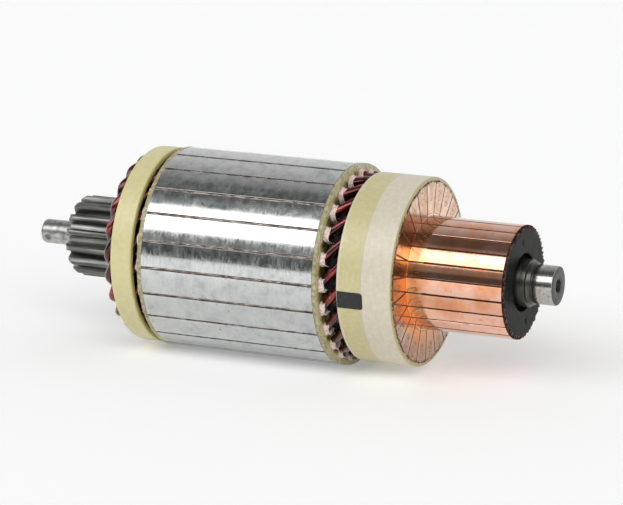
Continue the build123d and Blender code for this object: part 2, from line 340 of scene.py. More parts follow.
def makeMottled(name, grain, stops, surface, relief=()):
    # A plain surface with one mottle in its colour, and in its bumps where a relief is given. The
    # grain is a size, a detail and a roughness, the relief a depth and a strength.
    material, add, place = newMaterial(name)
    mottle = add("TexNoise", place, perMm(grain[0]), *grain[1:])
    colour = add("ValToRGB", mottle, stops=stops)
    return closeMaterial(material, {"Base Color": colour, **surface}, mottle if relief else None, *relief)


def aroundShaft(add, place):
    # Distance along the shaft and from its axis, and angle round it in radians.
    parts = add("SeparateXYZ", place).outputs
    flat = add("CombineXYZ", {"Y": parts["Y"], "Z": parts["Z"]})
    return {
        "along": parts["X"],
        "radius": add("VectorMath", flat, operation="LENGTH"),
        "angle": add("Math", parts["Z"], parts["Y"], operation="ARCTAN2"),
    }


def addSpots(add, place, under, tint, grain, start, full, share=1.0):
    # Lays spots of a tint over a colour, wherever a noise passes from start to full.
    spots = add("TexNoise", place, perMm(grain[0]), grain[1])
    mask = add("MapRange", spots, start, full, 0.0, share)
    return add("Mix", mask, under, tint, data_type="RGBA")


# Lamination stack


def makeGroundSteel():
    # Silicon steel sheet, punched and ground round: bright grey, clouded where the grinding
    # left a duller grain, with fine streaks round the stack and a few brown specks.
    material, add, place = newMaterial("ground silicon steel")
    sheets = add("Mapping", {"Vector": place, "Scale": perMm(0.55, 2.2, 2.2)})
    streaks = add("TexNoise", sheets, 1.0, 3.0, 0.7)
    clouds = add("TexNoise", place, perMm(4.5), 6.0, 0.66)
    colour = add("ValToRGB", clouds, stops=[(0.32, "B3B7B8"), (0.5, "CBCDCC"), (0.68, "D6D7D4")])
    spotted = addSpots(add, place, colour, "75685C", (1.6, 2.0), 0.71, 0.76, 0.7)
    haze = add("Math", streaks, clouds, operation="ADD")
    rough = add("MapRange", haze, 0.82, 1.22, 0.07, 0.23)
    metal = add("MapRange", haze, 0.82, 1.22, 1.0, 0.9)
    surface = {"Base Color": spotted, "Metallic": metal, "Roughness": rough}
    return closeMaterial(material, surface, streaks, 0.012)


stack = {
    "radius": 38.75, "bore": 10.0, "boreSteps": 72, "mouthWidth": 1.0, "tipHeight": 2.75,
    "slotWidth": 4.1, "slotBottom": 28.0, "slotCorner": 1.2, "edgeRounding": 0.09, "toothSteps": 14,
}
stackBack, stackFront = span("lamination_stack")
slotTop = stack["radius"] - stack["tipHeight"]
slotHalf = stack["slotWidth"] / 2


def makeStack(material):
    shape = bmesh.new()
    mouthHalf = stack["mouthWidth"] / 2
    mouthTop = sqrt(stack["radius"] ** 2 - mouthHalf**2)
    outline = [
        (mouthTop, -mouthHalf), (slotTop, -mouthHalf), (slotTop, -slotHalf), (stack["slotBottom"], -slotHalf),
        (stack["slotBottom"], slotHalf), (slotTop, slotHalf), (slotTop, mouthHalf), (mouthTop, mouthHalf),
    ]
    corners = chain(shape, [slotPoint(stackBack, *point) for point in outline], closed=False)
    for corner in corners[2:6]:
        roundCorner(shape, corner, stack["slotCorner"])
    mouthAngle = 2 * degrees(asin(mouthHalf / stack["radius"]))
    spinAround(shape, [corners[-1]], slotPitch - mouthAngle, stack["toothSteps"])
    copyRound(shape, slotCount)
    turnBy(shape, slotPhase)
    weld(shape, 0.005)
    raiseRing(shape, stackBack, stackFront, stack["bore"], stack["boreSteps"])
    faceOut(shape)
    mouths = pickEdges(shape, stack["radius"] - near, bend=50, run=0.9 * (stackFront - stackBack))
    bevelEdges(shape, mouths, stack["edgeRounding"])
    placePiece("ground_stack", shape, [material], ["lamination_stack"])


makeStack(makeGroundSteel())
print("lamination stack made")


# Insulating washers on the two faces of the stack


def makeFibre():
    # Vulcanised fibre soaked in varnish: straw-coloured board, painted lighter on its face than on
    # its greyer rim, as painted light where the bands and wires shade the face, and dark olive
    # lobes on each tooth, deepening inwards, as painted shade of the wires that slant over them.
    material, add, place = newMaterial("varnished vulcanised fibre")
    grain = add("TexNoise", place, perMm(1.4), 5.0, 0.65)
    face = add("ValToRGB", grain, stops=[(0.34, "A59B66"), (0.5, "C2B88A"), (0.66, "D6CFAE")])
    rim = add("ValToRGB", grain, stops=[(0.34, "857C54"), (0.5, "A69D7A"), (0.66, "C8C2A8")])
    around = aroundShaft(add, place)
    # The face's stops are a lit copy of the rim's: painted light.
    onRim = add("MapRange", around["radius"], 38.35 * mm, 38.65 * mm)
    paintedLitBoard = add("Mix", onRim, face, rim, data_type="RGBA")
    blotch = add("TexNoise", place, perMm(2.6), 3.0)
    # Dark lobes at mid-tooth, deepening inwards: painted shade of the wires over the teeth.
    wave = add("Math", around["angle"], float(slotCount), operation="MULTIPLY")
    lobes = add("Math", wave, operation="COSINE")
    patchy = add("Math", lobes, 0.24, blotch, operation="MULTIPLY_ADD")
    inward = add("MapRange", around["radius"], 38.0 * mm, 33.6 * mm, -0.3, 0.62)
    shadeDepth = add("Math", patchy, inward, operation="ADD")
    paintedShadeMask = add("MapRange", shadeDepth, 0.62, 0.9)
    resin = add("ValToRGB", blotch, stops=[(0.38, "2A2710"), (0.5, "655C26"), (0.62, "9C8A48")])
    colour = add("Mix", paintedShadeMask, paintedLitBoard, resin, data_type="RGBA")
    surface = {"Base Color": colour, "Roughness": 0.48, "Coat Weight": 0.25, "Coat Roughness": 0.2}
    return closeMaterial(material, surface, grain, 0.07, 0.6)


washer = {"radius": 38.75, "rimSteps": 184, "edgeRounding": 0.25}


def makeWasher(name, node, material):
    back, front = span(node)
    shape = bmesh.new()
    outline = [
        (stack["slotBottom"], -slotHalf), (stack["slotBottom"], slotHalf),
        (slotTop, slotHalf), (slotTop, -slotHalf),
    ]
    for corner in chain(shape, [slotPoint(back, *point) for point in outline], closed=True):
        roundCorner(shape, corner, stack["slotCorner"])
    copyRound(shape, slotCount)
    turnBy(shape, slotPhase)
    drawCircle(shape, back, washer["radius"], washer["rimSteps"])
    raiseRing(shape, back, front, stack["bore"], stack["boreSteps"])
    faceOut(shape)
    bevelEdges(shape, pickEdges(shape, washer["radius"] - near, bend=60), washer["edgeRounding"])
    placePiece(name, shape, [material], [node])


fibre = makeFibre()
makeWasher("front_washer", "commutator_end_washer", fibre)
makeWasher("rear_washer", "drive_end_washer", fibre)
print("washers made")


# Slot papers: a folded cuff at both ends of each slot, and the varnished fold that shuts its mouth


def makePaper():
    # Aramid slot paper: off-white with a pink cast at the cuffs, felted and torn. In the mouths
    # it is browned and filled with varnish.
    material, add, place = newMaterial("aramid slot paper")
    felt = add("TexNoise", place, perMm(0.9), 5.0, 0.7)
    sheet = add("ValToRGB", felt, stops=[(0.3, "A07C6E"), (0.43, "DCC4B9"), (0.58, "F7ECE6")])
    inMouth = add("MapRange", aroundShaft(add, place)["radius"], 37.0 * mm, 37.3 * mm)
    drawn = add("Mapping", {"Vector": place, "Scale": perMm(3.5, 0.5, 0.5)})
    soak = add("TexNoise", drawn, 1.0, 4.0, 0.65)
    soaked = add("ValToRGB", soak, stops=[(0.4, "3A2F2A"), (0.5, "8C786C"), (0.6, "D2C2B6")])
    colour = add("Mix", inMouth, sheet, soaked, data_type="RGBA")
    surface = {"Base Color": colour, "Roughness": 0.55, "Coat Weight": 0.3, "Coat Roughness": 0.15}
    return closeMaterial(material, surface, felt, 0.06, 0.8)


paper = {
    "thickness": 0.28, "cuffTop": 35.86, "cuffBottom": 28.14, "halfWidth": 1.91, "corner": 1.0,
    "frontReach": 2.3, "rearReach": 1.7, "tuck": 2.5, "facet": 0.9, "raggedness": 0.5,
    # Each fold of a cuff: its share of the reach, and how far it spreads from the one before
    "folds": [(0.04, 0.0), (0.1, 0.75), (0.3, 0.1), (0.42, -0.55), (0.7, 0.1), (1.0, 0.25)],
    "fillRadius": 38.33, "fillHalf": 0.37, "fillDip": 0.9, "fillEnd": 0.2, "fillSteps": 120,
}


def makeCuff(shape, angle, mouthX, reach, seed):
    # One cuff, drawn from inside the slot out to a torn and spread end.
    bottom, top, half = paper["cuffBottom"], paper["cuffTop"], paper["halfWidth"]
    towards = 1 if reach > 0 else -1
    outline = [(bottom, -half), (bottom, half), (top, half), (top, -half)]
    inside = mouthX - towards * paper["tuck"]
    cuff = bmesh.new()
    for corner in chain(cuff, [slotPoint(inside, *point) for point in outline], closed=True):
        roundCorner(cuff, corner, paper["corner"], 2)
    divideLong(cuff, paper["facet"])
    edges = cuff.edges[:]
    for along, spread in paper["folds"]:
        grown = bmesh.ops.extrude_edge_only(cuff, edges=edges)["geom"]
        edges = [item for item in grown if isinstance(item, bmesh.types.BMEdge)]
        for vert in [item for item in grown if isinstance(item, bmesh.types.BMVert)]:
            crumple = 1 + 0.6 * wander(vert.co, 1.8, seed + 5)
            torn = (wander(vert.co, 1.1, seed) - 0.3) * paper["raggedness"] if along == 1.0 else 0.0
            vert.co.x = (mouthX + reach * along + towards * torn) * mm
            vert.co.z += clamp(vert.co.z / mm / half, -1.0) * spread * crumple * mm
            if vert.co.y > (top - 0.5) * mm:
                vert.co.y += 0.8 * spread * crumple * mm
    turnBy(cuff, angle)
    joinShape(shape, cuff)


def makeFill(shape, angle, seed):
    # The folded paper under varnish, just below the mouth, sunk or missing in places.
    fill = bmesh.new()
    bmesh.ops.create_grid(fill, x_segments=paper["fillSteps"], y_segments=2, size=0.5)
    back, front = stackBack + paper["fillEnd"], stackFront - paper["fillEnd"]
    for vert in fill.verts:
        x = back + (front - back) * (vert.co.x + 0.5)
        sunk = max(0.0, noise.noise(Vector((x / 3.1, seed, 0))) - 0.12) * paper["fillDip"]
        rise = 0.06 * noise.noise(Vector((x * 1.3, seed, vert.co.y * 3)))
        vert.co = slotPoint(x, paper["fillRadius"] - sunk + rise, vert.co.y * 2 * paper["fillHalf"], angle)
    joinShape(shape, fill)


def makePapers(material):
    shape = bmesh.new()
    washerFront, washerBack = span("commutator_end_washer")[1], span("drive_end_washer")[0]
    for number in range(slotCount):
        angle = slotPhase + number * slotPitch
        makeCuff(shape, angle, washerFront, paper["frontReach"], 3.1 * number + 1)
        makeCuff(shape, angle, washerBack, -paper["rearReach"], 5.3 * number + 2)
        makeFill(shape, angle, 7.7 * number)
    piece = placePiece("slot_papers", shape, [material], ["slot_liners"], 50)
    thicken(piece, paper["thickness"])


makePapers(makePaper())
print("slot papers made")


# Coils: the hairpins of the CAD file, with their front top legs bent again as in the photograph


def makeEnamel(bareFrom):
    # Copper wire in dark red polyester enamel, dipped in varnish: a deep red metal under a wet
    # gloss, brown where varnish gathered. The last few millimetres in the riser are bare.
    material, add, place = newMaterial("red enamelled copper wire")
    pool = add("TexNoise", place, perMm(5), 3.0)
    enamel = add("ValToRGB", pool, stops=[(0.34, "260607"), (0.5, "641519"), (0.66, "962C26")])
    dusty = addSpots(add, place, enamel, "C9B8AC", (0.9, 1.0), 0.76, 0.8, 0.8)
    along = aroundShaft(add, place)["along"]
    bare = add("MapRange", along, bareFrom * mm, (bareFrom + 0.1) * mm)
    colour = add("Mix", bare, dusty, "E0A07E", data_type="RGBA")
    runs = add("TexNoise", place, perMm(2.2), 2.0)
    surface = {
        "Base Color": colour,
        "Metallic": add("MapRange", bare, 0.0, 1.0, 0.85, 1.0),
        "Roughness": add("MapRange", bare, 0.0, 1.0, 0.17, 0.25),
        "Coat Weight": add("MapRange", bare, 0.0, 1.0, 1.0, 0.0),
        "Coat Roughness": 0.05,
    }
    return closeMaterial(material, surface, runs, 0.12, 0.5)


riserBack, barrelEnd = span("commutator_bar_01")
riserThickness = 5.8
riserFace = riserBack + riserThickness
wire = {
    "radius": 1.65, "cutX": -84.0, "legRadius": 33.95, "seatRadius": 32.65, "endSink": 0.3,
    "seatPitches": 3,  # bars from a slot to the riser that its top wire ends in
    # The new leg, as distance along the shaft and degrees turned from the slot
    "route": [
        (-84.3, 0), (-79.2, 0), (-77.9, 0), (-75.0, 5.1), (-72.0, 10.4), (-69.0, 15.9), (-65.0, 24.3),
        (-61.0, 33.2), (-57.4, 42.0),
    ],
    "bendSteps": 8, "roundSteps": 6,
}


def layerSplit(x):
    # The radius that parts the two layers of wire, which both sink towards the risers.
    return 31.95 - 1.2 * clamp((x + 76) / 20)


def makeLeg():
    # The visible part of a top leg as a bent tube, for the slot at angle 0.
    seatAngle = wire["seatPitches"] * slotPitch
    stops = wire["route"] + [(riserBack - 1.2, seatAngle), (riserBack + 1, seatAngle), (riserFace, seatAngle)]
    curve = bpy.data.curves.new("leg", "CURVE")
    curve.dimensions = "3D"
    curve.bevel_depth = wire["radius"] * mm
    curve.bevel_resolution = wire["roundSteps"]
    curve.use_fill_caps = True
    spline = curve.splines.new("NURBS")
    spline.points.add(len(stops) - 1)
    for point, (x, angle) in zip(spline.points, stops):
        radius = wire["legRadius"] + (wire["seatRadius"] - wire["legRadius"]) * clamp((x + 78) / 16)
        point.co = (*rimPoint(x, radius, -angle), 1.0)
    spline.order_u = 3
    spline.use_endpoint_u = True
    spline.resolution_u = wire["bendSteps"]
    holder = bpy.data.objects.new("leg", curve)
    mesh = bpy.data.meshes.new_from_object(holder)
    bpy.data.objects.remove(holder)
    bpy.data.curves.remove(curve)
    return mesh


def makeHairpin(number, legMesh, material):
    # A merged copy of the CAD hairpin gives up its front top leg and takes the new one.
    node = f"coil_{number + 1:02d}"
    angle = slotPhase + number * slotPitch
    shape = bmesh.new()
    shape.from_mesh(frame["nodes"][node].data)
    weld(shape, 0.001)
    turnBy(shape, -angle)
    cutAcross(shape, wire["cutX"])
    middles = [(face, face.calc_center_median()) for face in shape.faces]
    frontLeg = [
        face for face, middle in middles
        if middle.x > wire["cutX"] * mm and radiusOf(middle) > layerSplit(middle.x / mm)
    ]
    bmesh.ops.delete(shape, geom=frontLeg, context="FACES")
    fillOpen(shape)
    shape.from_mesh(legMesh)
    for vert in shape.verts:  # the braze covers the ends
        if vert.co.x > (riserFace - wire["endSink"]) * mm:
            vert.co.x -= wire["endSink"] * mm
    turnBy(shape, angle)
    placePiece(f"hairpin_{number + 1:02d}", shape, [material], [node], 50)


enamel = makeEnamel(riserBack + 0.3)
legMesh = makeLeg()
for number in range(slotCount):
    makeHairpin(number, legMesh, enamel)
bpy.data.meshes.remove(legMesh)
print("hairpins made")


# Varnished paper between the two layers of end winding, carried on past the band as a dark sheet of painted
# shade


def makeVarnishAndShade():
    # Crepe paper under baked black varnish: glossy in the runs, specked with lint. Its near black also stands
    # for the deep shade between the wires: painted shade.
    material, add, place = newMaterial("black baked varnish and painted shade")
    runs = add("TexNoise", place, perMm(2.5), 4.0)
    coat = add("ValToRGB", runs, stops=[(0.4, "050304"), (0.6, "120707"), (0.75, "2C0F0E")])
    colour = addSpots(add, place, coat, "B9A79C", (1.0, 1.0), 0.70, 0.74)
    surface = {"Base Color": colour, "Roughness": 0.6, "Specular IOR Level": 0.25}
    return closeMaterial(material, surface, runs, 0.35, 0.8)


layerBed = {
    # Beyond -70.6 the front bed runs on past the band towards the washer: a dark sheet put between the wires
    # as painted shade.
    "front": [
        (-55.8, 30.56, 0), (-70.6, 30.56, 0), (-74.6, 31.8, 0), (-76.1, 31.8, 0),
        (-76.1, 32.15, 0), (-74.6, 32.15, 0), (-70.6, 30.86, 0), (-55.8, 30.86, 0),
    ],
    "rear": [(-153.9, 31.74, 0), (-164.4, 31.74, 0), (-164.4, 32.0, 0), (-153.9, 32.0, 0)],
    "waviness": 0.1, "steps": 184, "facet": 1.2,
}


def makeBed(name, outline, node, material):
    shape = turned(outline, layerBed["steps"], layerBed["facet"])
    for vert in shape.verts:
        vert.co += outwardOf(vert.co) * wander(vert.co, 3.0) * layerBed["waviness"] * mm
    placePiece(name, shape, [material], [node])


varnish = makeVarnishAndShade()
makeBed("front_layer_bed", layerBed["front"], "commutator_end_layer_insulation", varnish)
makeBed("rear_layer_bed", layerBed["rear"], "drive_end_layer_insulation", varnish)
print("winding dressed")


# Commutator bars


bar = {
    "barrelRadius": 21.63, "riserRadius": 34.35, "rootRadius": 20.03, "footRadius": 16.03,
    "footFront": -14.725, "footDepth": 2.0, "neckRadius": 22.4, "neckRounding": 0.12,
    "undercutFrom": 6.2, "micaGap": 0.5, "undercutGap": 0.6, "edgeRounding": 0.12, "endNotch": 0.7,
    "sawing": 0.06, "sawFacet": 0.9,  # how far the saw wandered, and over what length
    "bites": 58, "biteDepth": 0.85, "biteLength": 0.7,  # nibbled ends at the rim of the hub
    "seatBottom": 27.15, "seatWidth": 3.4, "seatTop": 34.4, "brazeSink": 0.015,
    "heatAndBounceAngle": 212.0, "spinSteps": 6,
}


def barTone(add, angle):
    # A grey from 0 to 1 that is the same all over one bar and differs from bar to bar.
    counted = add("Math", angle, slotCount / (2 * pi), slotCount / 2 + 0.5, operation="MULTIPLY_ADD")
    whole = add("Math", counted, operation="FLOOR")
    return add("TexWhiteNoise", whole, noise_dimensions="1D")


def heatAndBounceSide(add, angle):
    # How far the orange tint reaches at this angle, part heat colour from brazing and part painted
    # reflection: one half takes most of it.
    fromHot = add("Math", angle, radians(bar["heatAndBounceAngle"]), operation="SUBTRACT")
    facing = add("Math", fromHot, operation="COSINE")
    return add("MapRange", facing, -0.2, 0.75, 0.15, 1.0)


def makeRunningCopper():
    # Hard-drawn silver-bearing copper, turned, polished and thinly lacquered: pink mirror bands
    # that differ a little from bar to bar, hairline tool marks round the barrel, orange patches
    # and brown spots. An orange tint spreads from the risers: part heat colour from brazing, part
    # painted reflection of the light bounced between the risers and the barrel.
    material, add, place = newMaterial("turned commutator copper")
    around = aroundShaft(add, place)
    clouds = add("TexNoise", place, perMm(9), 4.0, 0.6)
    mixed = add("Math", barTone(add, around["angle"]), 0.22, clouds, operation="MULTIPLY_ADD")
    copper = add("ValToRGB", mixed, stops=[(0.34, "D2865E"), (0.52, "DF9D7E"), (0.74, "E9BBA8")])
    patched = addSpots(add, place, copper, "E9994E", (6, 3.0), 0.57, 0.66, 0.5)
    stained = addSpots(add, place, patched, "D9803C", (2.6, 2.0), 0.64, 0.74, 0.75)
    reach = add("Math", clouds, -14 * mm, around["along"], operation="MULTIPLY_ADD")
    nearRiser = add("MapRange", reach, (riserFace + 0.5) * mm, (riserFace - 7.5) * mm, 0.1, 0.9)
    heatAndBounce = add("Math", nearRiser, heatAndBounceSide(add, around["angle"]), operation="MULTIPLY")
    # FFB46A is lighter than copper itself: over the heat colour it paints the reflection of light bounced
    # between riser and barrel.
    tinted = add("Mix", heatAndBounce, stained, "FFB46A", data_type="RGBA")
    grooves = add("Mapping", {"Vector": place, "Scale": perMm(0.45, 30, 30)})
    turning = add("TexNoise", grooves, 1.0, 3.0, 0.7)
    rough = add("MapRange", turning, 0.25, 0.75, 0.05, 0.14)
    dulled = add("Math", heatAndBounce, 0.12, rough, operation="MULTIPLY_ADD")
    surface = {
        "Base Color": tinted, "Metallic": 1.0, "Roughness": dulled,
        "Coat Weight": 1.0, "Coat Roughness": 0.06,
    }
    return closeMaterial(material, surface, turning, 0.002)


def makeRiserCopper():
    # The same copper where the risers were faced off after bonding: a duller mirror with dark
    # nicks and a brown skin towards the rim. Towards the barrel it takes the same orange tint, part
    # heat colour and part painted reflection of the barrel's orange.
    material, add, place = newMaterial("faced riser copper")
    around = aroundShaft(add, place)
    clouds = add("TexNoise", place, perMm(3), 5.0, 0.65)
    mixed = add("Math", barTone(add, around["angle"]), 0.2, clouds, operation="MULTIPLY_ADD")
    copper = add("ValToRGB", mixed, stops=[(0.4, "B88D70"), (0.58, "CAA890"), (0.76, "D5BEAE")])
    marked = addSpots(add, place, copper, "6A3822", (1.1, 2.0), 0.68, 0.73, 0.7)
    ragged = add("Math", clouds, 1.4 * mm, around["radius"], operation="MULTIPLY_ADD")
    skin = add("MapRange", ragged, 34.1 * mm, 34.8 * mm, 0.0, 0.8)
    browned = add("Mix", skin, marked, "6E4229", data_type="RGBA")
    inward = add("Math", clouds, 9 * mm, around["radius"], operation="MULTIPLY_ADD")
    nearBarrel = add("MapRange", inward, 36.5 * mm, 28.5 * mm, 0.0, 0.85)
    heatAndBounce = add("Math", nearBarrel, heatAndBounceSide(add, around["angle"]), operation="MULTIPLY")
    # FAA45C near the barrel: over the heat colour, painted reflection of the barrel's orange.
    tinted = add("Mix", heatAndBounce, browned, "FAA45C", data_type="RGBA")
    rough = add("MapRange", clouds, 0.3, 0.7, 0.22, 0.09)
    surface = {"Base Color": tinted, "Metallic": 1.0, "Roughness": rough}
    return closeMaterial(material, surface, clouds, 0.006, 0.6)


# Sawn copper ends with scale and dust on them: brown-black with reddish patches.
burntCopper = makeMottled(
    "scaled copper ends", (1.1, 4.0, 0.7), [(0.42, "1A100C"), (0.54, "3D261C"), (0.68, "8E5F49")],
    {"Metallic": 0.65, "Roughness": 0.45}, (0.1, 0.8),
)
# Braze dressed flush with the riser: copper a little browner than the bars, with pores.
brazeCopper = makeMottled(
    "dressed copper braze", (0.9, 3.0), [(0.34, "724F3F"), (0.4, "B88D70"), (0.6, "CDAE98")],
    {"Metallic": 1.0, "Roughness": 0.2}, (0.02, 0.6),
)


def makeBarBlock(outline, gap):
    # A block that spans one whole bar, with half a gap sawn off both its sides.
    block = bmesh.new()
    outlineOf(block, [rimPoint(x, radius, -slotPitch / 2) for x, radius, rounding in outline], outline)
    bmesh.ops.contextual_create(block, geom=block.edges[:])
    spinAround(block, everything(block), slotPitch, bar["spinSteps"])
    for side in (-1, 1):
        sideAngle = radians(side * slotPitch / 2)
        outward = Vector((0, -sin(sideAngle), cos(sideAngle))) * side
        bmesh.ops.bisect_plane(
            block, geom=everything(block), dist=0.0001 * mm,
            plane_co=outward * (-gap / 2 * mm), plane_no=outward, clear_outer=True,
        )
        fillOpen(block)
    faceOut(block)
    return block


def makeRunner(undercutX):
    # The running part of a bar, with its foot in the hub.
    runner = makeBarBlock(
        [
            (undercutX, bar["footRadius"], 0), (undercutX, bar["barrelRadius"], 0),
            (barrelEnd, bar["barrelRadius"], 0), (barrelEnd, bar["rootRadius"], 0),
            (bar["footFront"], bar["rootRadius"], 0),
            (bar["footFront"] - bar["footDepth"], bar["footRadius"], 0),
        ],
        bar["undercutGap"],
    )
    length = barrelEnd - undercutX
    sawn = pickEdges(runner, bar["barrelRadius"] - near, bend=50, run=length / 2)
    bevelEdges(runner, sawn, bar["edgeRounding"])
    stations = int(length / bar["sawFacet"])
    for station in range(1, stations):
        cutAcross(runner, undercutX + length * station / stations)
    ends = pickEdges(runner, x=barrelEnd - atEnd)
    notched = [edge for edge in ends if abs(radiusOf(edge.verts[0].co) - radiusOf(edge.verts[1].co)) > 0.4]
    bevelEdges(runner, notched, bar["endNotch"], 1)
    cutAcross(runner, barrelEnd - bar["biteLength"])
    rim = pickEdges(runner, bar["barrelRadius"] - near, barrelEnd - atEnd)
    bmesh.ops.subdivide_edges(runner, edges=rim, cuts=2)
    assignMaterial(runner, 2, barrelEnd - bar["biteLength"])
    return runner


def makeRiser():
    # A plate with a slot for the wires, open at the rim.
    plate = bmesh.new()
    halfSeat, halfGap, side = bar["seatWidth"] / 2, bar["micaGap"] / 2, slotPitch / 2
    inner, outer = [sqrt(bar[name] ** 2 - halfGap**2) for name in ("neckRadius", "riserRadius")]
    seatRim = sqrt(bar["riserRadius"] ** 2 - halfSeat**2)
    outline = [
        (inner, halfGap, -side), (inner, -halfGap, side), (outer, -halfGap, side),
        (seatRim, halfSeat), (bar["seatBottom"], halfSeat),
        (bar["seatBottom"], -halfSeat), (seatRim, -halfSeat), (outer, halfGap, -side),
    ]
    corners = chain(plate, [slotPoint(riserBack, *point) for point in outline], closed=True)
    for corner in corners[4:6]:
        roundCorner(plate, corner, halfSeat * 0.97, 5)
    face = bmesh.ops.contextual_create(plate, geom=plate.edges[:])["faces"]
    extrudeAlong(plate, face, riserThickness)
    faceOut(plate)
    front = pickEdges(plate, bar["neckRadius"] - 0.5, riserFace - atEnd)
    rim = bar["riserRadius"] - 0.1
    outermost = [edge for edge in front if max(radiusOf(vert.co) for vert in edge.verts) > rim]
    bevelEdges(plate, outermost, bar["edgeRounding"])
    assignMaterial(plate, 1)
    return plate


def makeBraze(seatFace):
    # The braze round the wire ends, a little below the face.
    seat = bmesh.new()
    middle = (bar["seatBottom"] + bar["seatTop"]) / 2
    height = bar["seatTop"] - bar["seatBottom"] - 0.2
    bmesh.ops.create_grid(seat, x_segments=12, y_segments=6, size=0.5)
    for vert in seat.verts:
        vert.co = slotPoint(seatFace, middle + vert.co.x * height, vert.co.y * bar["seatWidth"])
    extrudeAlong(seat, seat.faces[:], 0.4 - riserThickness)
    assignMaterial(seat, 3)
    return seat


def makeBars(materials):
    undercutX = riserFace + bar["undercutFrom"]
    seatFace = riserFace - bar["brazeSink"]
    neck = makeBarBlock(
        [
            (riserBack, bar["rootRadius"], 0), (riserBack, bar["neckRadius"], 0),
            (riserFace, bar["neckRadius"], 0), (riserFace, bar["barrelRadius"], bar["neckRounding"]),
            (undercutX, bar["barrelRadius"], 0), (undercutX, bar["rootRadius"], 0),
        ],
        bar["micaGap"],
    )
    shape = bmesh.new()
    for part in (neck, makeRunner(undercutX), makeRiser(), makeBraze(seatFace)):
        joinShape(shape, part)
    copyRound(shape, slotCount)
    turnBy(shape, slotPhase)
    for vert in shape.verts:
        if vert.co.x > (undercutX + 0.1) * mm and radiusOf(vert.co) > bar["barrelRadius"] - 0.25:
            angle = wander(vert.co, 1.6) * bar["sawing"] / bar["barrelRadius"]
            vert.co = Matrix.Rotation(angle, 3, "X") @ vert.co
            if vert.co.x > (barrelEnd - atEnd) * mm:
                turn = atan2(vert.co.z, vert.co.y) * bar["bites"] / 2 + 2.5 * wander(vert.co, 5.0)
                bitten = abs(sin(turn)) * (0.8 + wander(vert.co, 1.6, 4.0)) * bar["biteDepth"]
                vert.co -= (outwardOf(vert.co) + Vector((0.8, 0, 0))) * bitten * mm
        elif abs(vert.co.x - seatFace * mm) < atEnd * mm and radiusOf(vert.co) > bar["seatBottom"] - 0.1:
            vert.co.x += wander(vert.co, 1.1) * bar["brazeSink"] * 2 * mm
    nodes = [f"commutator_bar_{number + 1:02d}" for number in range(slotCount)]
    placePiece("commutator_bars", shape, materials, nodes)


makeBars([makeRunningCopper(), makeRiserCopper(), burntCopper, brazeCopper])

# Mica splittings in shellac, with copper dust rubbed in: a dark brown line between bars.
mica = makeMottled(
    "shellac bonded mica", (0.8, 4.0), [(0.35, "2A1A14"), (0.55, "4E3427"), (0.72, "8A6552")],
    {"Roughness": 0.55},
)
micaMesh = frame["nodes"]["mica_separators"].data
micaMesh.materials.clear()
micaMesh.materials.append(mica)
print("commutator bars made")


# Commutator hub


# Glass-filled phenolic moulding, machined flat: near black with a green-grey cast.
hubResin = makeMottled(
    "black phenolic moulding", (1.5, 5.0, 0.6), [(0.34, "121411"), (0.54, "1D1F1B"), (0.7, "2F312C")],
    {"Roughness": 0.45, "Specular IOR Level": 0.07}, (0.04, 0.5),
)
hub = {
    "rimRadius": 20.03, "footRadius": 16.03, "boreRadius": 9.05, "recessRadius": 11.0,
    "recessDepth": 3.0, "backRim": 7.0, "rounding": 0.3, "facet": 1.0,
    "pinAngles": (96.0, 277.0), "pinRadius": 15.4, "pinSize": 2.2, "pinDepth": 0.5,
}


def makeHub(material):
    hubBack, hubFront = span("commutator_hub")
    footBack = hubBack + hub["backRim"]
    recessFloor = hubFront - hub["recessDepth"]
    outline = [
        (hubBack, hub["boreRadius"], 0), (hubBack, hub["rimRadius"], 0),
        (footBack, hub["rimRadius"], 0), (footBack - bar["footDepth"], hub["footRadius"], 0),
        (bar["footFront"] + bar["footDepth"], hub["footRadius"], 0), (bar["footFront"], hub["rimRadius"], 0),
        (hubFront, hub["rimRadius"], hub["rounding"] / 2), (hubFront, hub["recessRadius"], hub["rounding"]),
        (recessFloor, hub["recessRadius"], hub["rounding"]), (recessFloor, hub["boreRadius"], 0),
    ]
    shape = turned(outline, longest=hub["facet"])
    for vert in shape.verts:  # two round marks that the ejector pins left
        for angle in hub["pinAngles"]:
            away = (vert.co - rimPoint(hubFront, hub["pinRadius"], angle)).length / mm
            if away < hub["pinSize"] / 2:
                vert.co.x -= hub["pinDepth"] * mm * min(1.0, 2.2 * (1 - 2 * away / hub["pinSize"]))
    placePiece("phenolic_hub", shape, [material], ["commutator_hub"], 40)


makeHub(hubResin)
print("hub made")


# Binding bands


